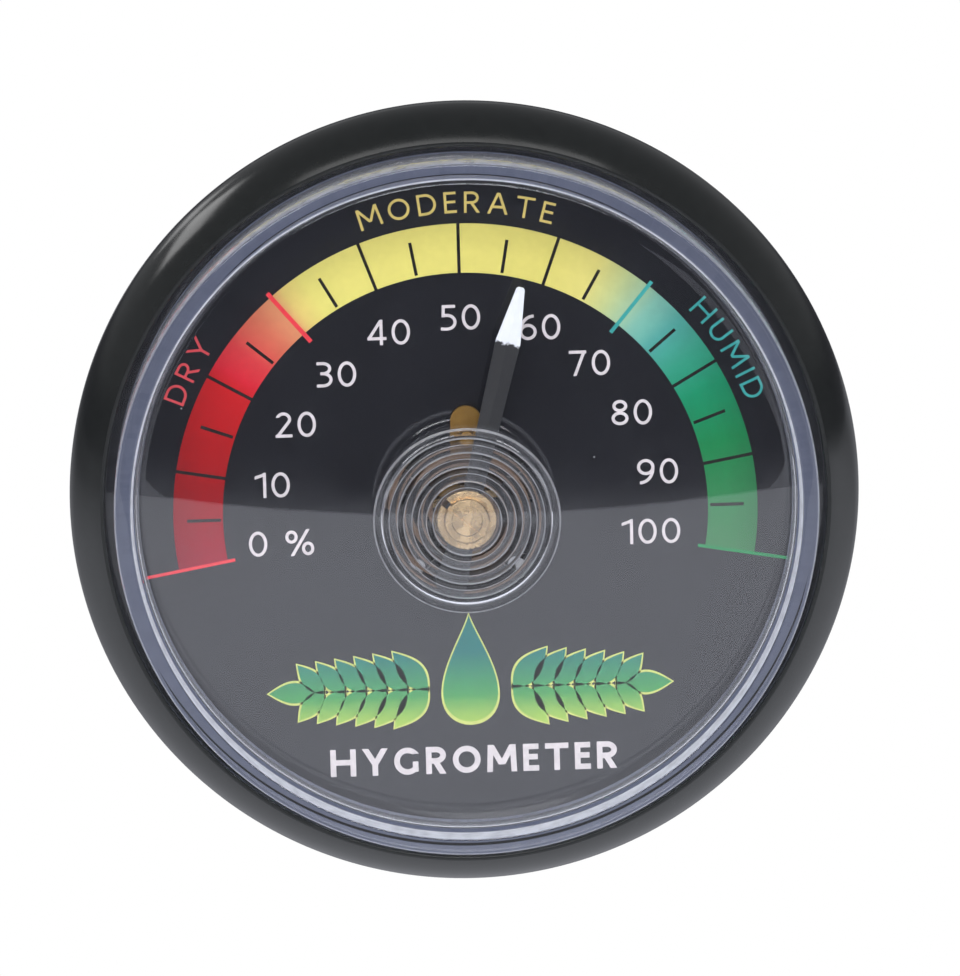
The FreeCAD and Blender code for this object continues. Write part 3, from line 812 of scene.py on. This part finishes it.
def glyph(character, t):
    """(width, strokes) of a character 1 high, where t is half the stroke's width."""
    top, mid = 1 - t, 0.52
    shapes = {
        " ": (0.30, []),
        "0": (0.72, [oval(0.36, 0.5, 0.36 - t, 0.5 - t)]),
        "1": (0.44, [[(0.44 - t, 0), (0.44 - t, 1)], [(0, 0.80), (0.44 - t, 0.985 - t)]]),
        "2": (
            0.66,
            [bow(0.32, 0.72, 0.30 - t, 0.28 - t, 160, -25) + [(1.6 * t, 1.2 * t)], [(0, t), (0.66, t)]],
        ),
        "3": (
            0.64,
            [
                [(0.03, top)] + bow(0.28, (top + 0.54) / 2, 0.26, (top - 0.54) / 2, 90, -90) + [(0.17, 0.54)],
                [(0.17, 0.54)] + bow(0.27, (0.54 + t) / 2, 0.37 - t, (0.54 - t) / 2, 90, -90) + [(0.02, t)],
            ],
        ),
        "4": (0.74, [[(0.54, 0), (0.54, 1)], [(0.54, 0.985), (t, 0.27)], [(0, 0.26), (0.74, 0.26)]]),
        "5": (
            0.62,
            [
                [(0.10, top), (0.58, top)],
                [(0.12, 1), (0.10, mid)],
                [(0.07, 0.60)] + bow(0.25, 0.32, 0.37 - t, 0.30 - t / 2, 80, -90) + [(0.0, t)],
            ],
        ),
        "6": (0.68, [oval(0.34, 0.32, 0.34 - t, 0.32 - t), bow(0.56, 0.36, 0.56 - t, 0.64 - t, 180, 88)]),
        "7": (0.68, [[(0, top), (0.68, top)], [(0.68 - 1.3 * t, 0.985), (0.22, 0)]]),
        "8": (0.66, [oval(0.33, 0.76, 0.29 - t, 0.24 - t), oval(0.33, 0.27, 0.33 - t, 0.27 - t)]),
        "9": (0.68, [oval(0.34, 0.68, 0.34 - t, 0.32 - t), bow(0.12, 0.64, 0.56 - t, 0.64 - t, 0, -92)]),
        "%": (
            1.12,
            [
                oval(0.24, 0.74, 0.24 - t, 0.26 - t),
                oval(0.88, 0.27, 0.24 - t, 0.27 - t),
                [(0.25, -0.02), (0.89, 1.04)],
            ],
        ),
        "A": (
            0.94,
            [[(1.05 * t, 0), (0.455, 1)], [(0.94 - 1.05 * t, 0), (0.485, 1)], [(0.2, 0.33), (0.74, 0.33)]],
        ),
        "D": (0.86, [[(t, 0), (t, 1)], [(t, top)] + bow(0.37, 0.5, 0.49 - t, 0.5 - t, 90, -90) + [(t, t)]]),
        "E": (
            0.57,
            [[(t, 0), (t, 1)], [(t, top), (0.56, top)], [(t, mid), (0.53, mid)], [(t, t), (0.57, t)]],
        ),
        "G": (0.92, [bow(0.48, 0.5, 0.48 - t, 0.5 - t, 42, 318), [(0.87 - t, 0.10), (0.87 - t, 0.48)]]),
        "H": (0.92, [[(t, 0), (t, 1)], [(0.92 - t, 0), (0.92 - t, 1)], [(t, mid), (0.92 - t, mid)]]),
        "I": (2 * t, [[(t, 0), (t, 1)]]),
        "M": (
            1.08,
            [
                [(t, 0), (0.04 + t, 1)],
                [(0.04 + t, 1), (0.54, 0.27)],
                [(1.04 - t, 1), (0.54, 0.27)],
                [(1.08 - t, 0), (1.04 - t, 1)],
            ],
        ),
        "O": (1.0, [oval(0.5, 0.5, 0.5 - t, 0.5 - t)]),
        "R": (
            0.74,
            [
                [(t, 0), (t, 1)],
                [(t, top)] + bow(0.36, (top + 0.48) / 2, 0.26, (top - 0.48) / 2, 90, -90) + [(t, 0.48)],
                [(0.33, 0.48), (0.74 - 1.3 * t, 0)],
            ],
        ),
        "T": (0.84, [[(0, top), (0.84, top)], [(0.42, 0), (0.42, top)]]),
        "U": (0.82, [[(t, 1), (t, 0.4)] + bow(0.41, 0.38, 0.41 - t, 0.38 - t, 180, 360) + [(0.82 - t, 1)]]),
        "Y": (
            0.92,
            [[(1.1 * t, 1), (0.46, 0.42)], [(0.92 - 1.1 * t, 1), (0.46, 0.42)], [(0.46, 0), (0.46, 0.5)]],
        ),
    }
    return shapes[character]


def stroke_offsets(points, half, closed):
    """Offset to the left of each point of a stroke. Loose ends are cut level or upright."""
    offsets = []
    for i, here in enumerate(points):
        joined = closed or 0 < i < len(points) - 1
        into = (here - points[i - 1]).normalized() if joined or i else None
        out = (points[(i + 1) % len(points)] - here).normalized() if joined or not i else None
        if joined:
            across = Vector((-(into + out).y, (into + out).x)).normalized()
            offsets.append(across * half / across.dot(Vector((-into.y, into.x))))
            continue
        way = into or out
        upright = abs(way.y) > abs(way.x)
        offsets.append(Vector((-half / way.y, 0.0)) if upright else Vector((0.0, half / way.x)))
    return offsets


STROKE_STEP = 0.15                  # share of the ink's thickness that each further stroke adds


def lay_letters(bm, text, height, weight, gap, place):
    """Letters side by side. place(x) turns a distance along the line into a matrix on the dial.

    Each further stroke of a letter is a hair thicker on both sides, so that no two share a face or an edge.
    """
    shapes = [glyph(c, weight / height / 2) for c in text]
    x = -(sum(width for width, _ in shapes) * height + gap * (len(text) - 1)) / 2
    for width, strokes in shapes:
        matrix = place(x)
        for k, points in enumerate(strokes):
            closed = math.dist(points[0], points[-1]) < 1e-6
            path = [Vector(p) * height for p in (points[:-1] if closed else points)]
            high = PRINT_T * (1.0 + STROKE_STEP * k)
            low = -high
            stations = []
            for point, off in zip(path, stroke_offsets(path, weight / 2, closed)):
                spots = [(point + off, low), (point + off, high), (point - off, high), (point - off, low)]
                stations.append([bm.verts.new(matrix @ Vector((s.x, -h, s.y))) for s, h in spots])
            bar_faces(bm, stations, closed)
        x += width * height + gap


def straight_line(x, z):
    """Letters on a level line centred at x, with the base line at z from the pivot."""
    return lambda along: Matrix.Translation((x + along, -FILM_H, PIVOT_Z + z))


def arched_line(radius, middle_degrees):
    """Letters on an arc about the pivot, base line inwards."""

    def place(along):
        degrees = middle_degrees + math.degrees(along / radius)
        return Matrix.Translation(on_dial(radius, degrees)) @ Matrix.Rotation(math.radians(degrees), 4, "Y")

    return place


def word(name, text, height, weight, gap, place):
    bm = bmesh.new()
    lay_letters(bm, text, height, weight, gap, place)
    return mesh_from(name, bm)


NUMBER_H, NUMBER_W, NUMBER_GAP = 2.42 * MM, 0.29 * MM, 0.5 * MM
WORD_H, WORD_W, WORD_GAP = 2.05 * MM, 0.25 * MM, 0.66 * MM
TITLE_H, TITLE_W, TITLE_GAP = 2.65 * MM, 0.54 * MM, 0.6 * MM
NUMBER_SPOTS = [                    # text, distance from the pivot in millimetres, dial angle
    ("0 %", 17.7, -97.9),
    ("10", 18.5, -80.0),
    ("20", 18.2, -60.5),
    ("30", 18.1, -41.0),
    ("40", 18.8, -21.2),
    ("50", 18.75, 0.0),
    ("60", 19.1, 23.0),
    ("70", 18.5, 40.8),
    ("80", 18.4, 60.2),
    ("90", 18.6, 79.5),
    ("100", 17.7, 97.7),
]


def scale_numbers():
    bm = bmesh.new()
    for text, radius, degrees in NUMBER_SPOTS:
        centre = on_dial(radius * MM, degrees)
        place = straight_line(centre.x, centre.z - PIVOT_Z - NUMBER_H / 2)
        lay_letters(bm, text, NUMBER_H, NUMBER_W, NUMBER_GAP, place)
    return mesh_from("scale_numbers", bm)


def leaf_outline(base, degrees, length, width, grow):
    """Pointed oval from base, leaning clockwise from up, as points (x, z)."""
    count = 14
    lean = math.radians(degrees)
    along = Vector((math.sin(lean), math.cos(lean)))
    across = Vector((along.y, -along.x))
    start = Vector(base) - along * grow
    full = length + 2 * grow
    side = [(t / count, math.sin(math.pi * (t / count) ** 0.85)) for t in range(count + 1)]
    right = [start + along * full * t + across * (width / 2 + grow) * s for t, s in side]
    left = [start + along * full * t - across * (width / 2 + grow) * s for t, s in side[-2:0:-1]]
    return [(p.x, p.y) for p in right + left]


def drop_outline(centre, radius, height, grow):
    """Water drop with its point up, as points (x, z)."""
    count = 48
    points = []
    for i in range(count):
        a = 2 * math.pi * i / count
        narrowing = math.sin(a / 2) ** 1.6
        x = (radius + grow) * 1.15 * math.sin(a) * narrowing
        points.append((centre[0] + x, centre[1] + (height / 2 + 1.5 * grow) * math.cos(a)))
    return points


EMBLEM_Z = PIVOT_Z - 17.0 * MM
LEAVES = 6                          # pairs of leaves on each sprig
LEAF_STEP = 1.98 * MM
LEAF_L, LEAF_W, LEAF_GAP = 5.0 * MM, 2.3 * MM, 0.15 * MM
TIP_L, TIP_W = 4.4 * MM, 2.0 * MM
SPRIG_START = 4.1 * MM
DROP_RISE, DROP_R, DROP_H = 1.9 * MM, 3.3 * MM, 10.4 * MM


def emblem_shapes(grow):
    """Outlines of a water drop between two leafy sprigs."""
    shapes = [drop_outline((0.0, EMBLEM_Z + DROP_RISE), DROP_R, DROP_H, grow)]
    for side in (-1, 1):
        for i in range(LEAVES):
            x = side * (SPRIG_START + LEAF_STEP * i)
            size = 1.0 - 0.05 * i
            for up in (1, -1):
                lean = side * (90 - up * 50)
                start = (x, EMBLEM_Z - up * LEAF_GAP)
                shapes.append(leaf_outline(start, lean, LEAF_L * size, LEAF_W * size, grow))
        tip = side * (SPRIG_START + LEAF_STEP * (LEAVES - 0.6))
        shapes.append(leaf_outline((tip, EMBLEM_Z), side * 90, TIP_L, TIP_W, grow))
    return shapes


def emblem(name, grow, layer):
    bm = bmesh.new()
    for outline in emblem_shapes(grow):
        add_plate(bm, outline, layer)
    return mesh_from(name, bm)


white_ink = print_ink("white_ink", linear(221, 213, 213))
black_ink = print_ink("black_ink", linear(26, 24, 22))
red_ink = print_ink("red_ink", linear(232, 62, 72))
dry_ink = print_ink("dry_ink", linear(206, 72, 78))
tan_ink = print_ink("tan_ink", linear(212, 190, 108))
teal_ink = print_ink("teal_ink", linear(60, 162, 156))
green_ink = print_ink("green_ink", linear(38, 140, 84))
rim_ink = print_ink("rim_ink", linear(206, 214, 120))

TENS = [p for p in range(10, 100, 10) if p not in (30, 70)]
PRINT = [
    ("print_band", scale_band(), band_ink()),
    ("print_major_ticks", ticks("major", TENS, BAND_R, TICK_W), black_ink),
    ("print_minor_ticks", ticks("minor", range(5, 100, 10), MINOR_R, TICK_W), black_ink),
    ("print_dry_limit", ticks("dry_limit", [30], ZONE_R, 0.42 * MM), red_ink),
    ("print_humid_limit", ticks("humid_limit", [70], ZONE_R, 0.36 * MM), teal_ink),
    ("print_low_end", ticks("low_end", [0], END_R, 0.3 * MM), red_ink),
    ("print_high_end", ticks("high_end", [100], END_R, 0.3 * MM), green_ink),
    ("print_numbers", scale_numbers(), white_ink),
    ("print_dry", word("dry", "DRY", WORD_H, WORD_W, WORD_GAP, arched_line(28.6 * MM, -60.8)), dry_ink),
    (
        "print_moderate",
        word("moderate", "MODERATE", WORD_H, WORD_W, WORD_GAP, arched_line(28.7 * MM, -0.3)),
        tan_ink,
    ),
    ("print_humid", word("humid", "HUMID", WORD_H, WORD_W, WORD_GAP, arched_line(28.6 * MM, 59.4)), teal_ink),
    (
        "print_title",
        word("title", "HYGROMETER", TITLE_H, TITLE_W, TITLE_GAP, straight_line(0.15 * MM, -25.3 * MM)),
        white_ink,
    ),
    ("print_emblem_edge", emblem("emblem_edge", 0.22 * MM, 1), rim_ink),
    ("print_emblem", emblem("emblem", 0.0, 2), emblem_ink()),
]
for piece_name, piece_mesh, ink in PRINT:
    add_piece(piece_name, piece_mesh, ink, "case")
lens = add_piece("clear_lens", lens_mesh(), MATERIALS["clear_plastic"], "case")
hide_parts("front_lens")
strip_mesh, winding = coil_mesh()
strip_mesh.materials.append(MATERIALS["coil_strip"])
strip = bpy.data.objects.new("coil_spiral", strip_mesh)
bpy.context.scene.collection.objects.link(strip)
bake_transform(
    strip, "movement", "pointer_assembly", on_dial(COIL_R, BAR_DEG), on_dial(HUB_SLOT_END, 180 + BAR_DEG)
)
for corner, share in zip(strip.data.attributes["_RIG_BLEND"].data, winding):
    corner.value = share
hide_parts("humidity_coil")
bezel = add_piece("black_bezel", bezel_mesh(), MATERIALS["black_plastic"], "case")
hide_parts("bezel_ring")


# ---------------------------------------------------------------------------------------------------------
# Studio
# ---------------------------------------------------------------------------------------------------------
FLOOR_DROP = 0.12                   # floor below the object's centre
FLOOR_FRONT = 1.6
FLOOR_SIZE = 3.0
BAY_X, BAY_FRONT, BAY_R = 0.012, 0.628, 0.150    # round-ended bay in the floor's front edge
FLOOR_LEAN = 1.6                    # degrees that the object leans anticlockwise on the floor
CAMERA_ELEVATION, CAMERA_AZIMUTH, CAMERA_ROLL = 10.8, -1.37, -1.55
CAMERA_DISTANCE = 0.70
CAMERA_TARGET = (1.49 * MM, -2.5 * MM, 0.334 * MM)
SENSOR_WIDTH = 36.0
FRAME_H, PIXELS_PER_M = 976.0, 10509.0           # size of the frame, and of the dial in it


def stage_material(name, colour_for_camera, colour, glow):
    """Plain white to the camera, and a soft glow of its own level to everything else."""
    material, sh = new_material(name)
    seen = sh.node("ShaderNodeEmission", Color=colour_for_camera, Strength=1.0)
    lit = sh.node("ShaderNodeEmission", Color=colour, Strength=glow(sh))
    both = sh.node("ShaderNodeMixShader", Fac=sh.node("ShaderNodeLightPath").outputs["Is Camera Ray"])
    sh.tree.links.new(lit.outputs[0], both.inputs[1])
    sh.tree.links.new(seen.outputs[0], both.inputs[2])
    sh.finish(both.outputs[0])
    return material


def floor():
    """White table top. The bay in its front edge lies under the camera and leaves the upper dial dark."""
    bm = bmesh.new()
    bay = [(BAY_X - x, -y) for x, y in arc((0.0, BAY_FRONT + BAY_R), BAY_R, 180, 360, 24)]
    left, right = (-FLOOR_SIZE, -FLOOR_FRONT), (FLOOR_SIZE, -FLOOR_FRONT)
    outline = [(-FLOOR_SIZE, FLOOR_SIZE), left, (BAY_X - BAY_R, -FLOOR_FRONT)]
    outline += sorted(bay) + [(BAY_X + BAY_R, -FLOOR_FRONT), right, (FLOOR_SIZE, FLOOR_SIZE)]
    bm.faces.new([bm.verts.new((x, y, -FLOOR_DROP)) for x, y in outline])
    bm.normal_update()
    bmesh.ops.triangulate(bm, faces=bm.faces)
    mesh = mesh_from("floor", bm)

    def glow(sh):
        x, y, _ = sh.split(sh.place())
        away = sh.length(x, y)
        behind = sh.math("DIVIDE", y, sh.math("ADD", away, 0.15))
        level = sh.steps(behind, 0.08, 0.58, 1.0, 0.32)
        return sh.math("MULTIPLY", level, sh.steps(x, -0.95, -0.35, 0.35, 1.0))

    mesh.materials.append(stage_material("floor", (1.0, 1.0, 1.0), (0.96, 0.98, 1.06), glow))
    piece = bpy.data.objects.new("floor", mesh)
    bpy.context.scene.collection.objects.link(piece)
    piece.rotation_euler = (0.0, math.radians(FLOOR_LEAN), 0.0)


def studio_world():
    """White behind the object to the camera, and a dim room for lighting and reflections."""
    world = bpy.data.worlds.new("studio")
    bpy.context.scene.world = world
    world.use_nodes = True
    sh = Shader(world.node_tree)
    direction = sh.node("ShaderNodeTexCoord").outputs["Generated"]
    _, _, up = sh.split(direction)
    room = sh.ramp(
        sh.steps(up, -0.2, 1.0),
        [
            (0.0, (0.07, 0.07, 0.08)),
            (0.25, (0.07, 0.07, 0.08)),
            (0.33, (0.24, 0.245, 0.255)),
            (0.45, (0.28, 0.285, 0.295)),
            (0.75, (0.2, 0.205, 0.215)),
            (1.0, (0.17, 0.175, 0.185)),
        ],
    )
    colour = sh.mix(sh.node("ShaderNodeLightPath").outputs["Is Camera Ray"], room, (1.0, 1.0, 1.0))
    background = sh.node("ShaderNodeBackground", Color=colour, Strength=1.0)
    out = sh.node("ShaderNodeOutputWorld")
    sh.tree.links.new(background.outputs[0], out.inputs["Surface"])


def softbox(name, place, size, power):
    """Rectangular lamp aimed at the object, unseen by the camera."""
    light = bpy.data.lights.new(name, "AREA")
    light.shape = "RECTANGLE"
    light.size, light.size_y = size
    light.energy = power
    lamp = bpy.data.objects.new(name, light)
    bpy.context.scene.collection.objects.link(lamp)
    lamp.location = place
    lamp.rotation_euler = (-Vector(place)).to_track_quat("-Z", "Y").to_euler()
    lamp.visible_camera = False


def camera():
    """Camera a little above and to the left of the dial's axis, rolled a touch clockwise."""
    elevation, azimuth = math.radians(CAMERA_ELEVATION), math.radians(CAMERA_AZIMUTH)
    back = Vector(
        (
            math.sin(azimuth) * math.cos(elevation),
            -math.cos(azimuth) * math.cos(elevation),
            math.sin(elevation),
        )
    )
    data = bpy.data.cameras.new("camera")
    data.sensor_width = SENSOR_WIDTH
    data.lens = data.sensor_width * CAMERA_DISTANCE * PIXELS_PER_M / FRAME_H
    data.clip_start, data.clip_end = 0.01, 20.0
    cam = bpy.data.objects.new("camera", data)
    bpy.context.scene.collection.objects.link(cam)
    cam.location = Vector(CAMERA_TARGET) + back * CAMERA_DISTANCE
    cam.rotation_mode = "QUATERNION"
    roll = Matrix.Rotation(math.radians(CAMERA_ROLL), 3, "Z").to_quaternion()
    cam.rotation_quaternion = (-back).to_track_quat("-Z", "Y") @ roll
    bpy.context.scene.camera = cam


floor()
studio_world()
softbox("rim_left", (-0.671, 0.470, 0.574), (0.40, 0.2), 0.75)
softbox("rim_low", (-0.501, 0.772, 0.391), (0.18, 0.14), 0.12)
softbox("front", (0.0, -0.95, 0.31), (0.9, 0.22), 5.0)
softbox("overhead", (0.0, -0.45, 1.0), (1.2, 0.5), 4.0)
camera()
bpy.context.scene.view_settings.view_transform = "Standard"
